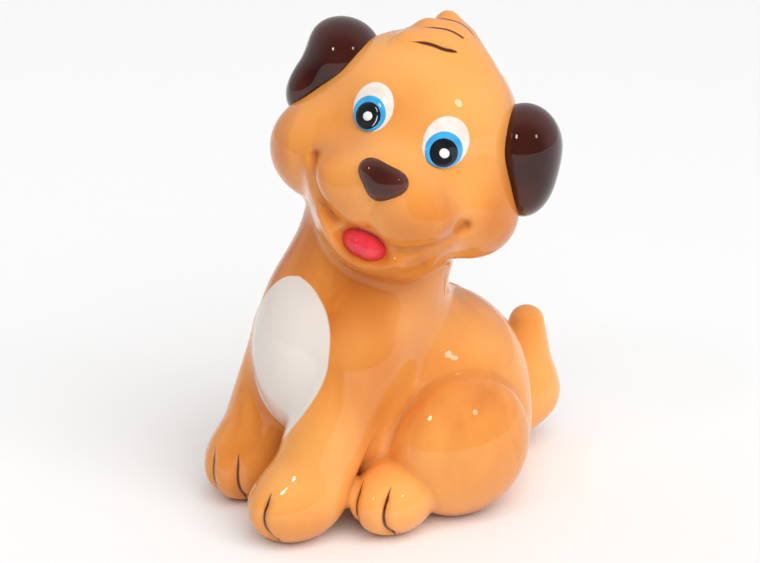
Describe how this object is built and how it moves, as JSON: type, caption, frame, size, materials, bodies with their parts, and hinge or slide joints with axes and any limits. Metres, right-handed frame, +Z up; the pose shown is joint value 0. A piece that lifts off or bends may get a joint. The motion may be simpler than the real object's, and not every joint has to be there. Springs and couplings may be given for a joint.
{
  "type": "figural animal coin bank",
  "caption": "Hollow glazed ceramic sitting puppy that stores coins, with a slot in its back and a rubber stopper in its flat base.",
  "frame": {"origin": "centre of the bounding box at the level of the table the bank sits on", "axes": "+Z up, -Y the way the chest and front paws face, +X the puppy's left"},
  "size_m": [0.103, 0.1384, 0.1646],
  "materials": {
    "caramel_glaze": "gloss glaze over brushed colour",
    "chestnut_glaze": "gloss glaze",
    "white_glaze": "gloss glaze",
    "pink_glaze": "gloss glaze",
    "stopper_rubber": "matt moulded rubber"
  },
  "bodies": {
    "figure": {"body_casting": "caramel_glaze", "head_casting": "caramel_glaze", "left_ear": "chestnut_glaze", "right_ear": "chestnut_glaze", "forelock": "caramel_glaze", "tail": "caramel_glaze", "nose": "chestnut_glaze", "left_eye": "white_glaze", "right_eye": "white_glaze", "tongue": "pink_glaze"},
    "stopper": {"base_stopper": "stopper_rubber"}
  },
  "joints": [
    {"name": "stopper_pull", "type": "slide", "parent": "figure", "child": "stopper", "axis": [0, 0, -1], "range_m": [0, 0.03]}
  ]
}
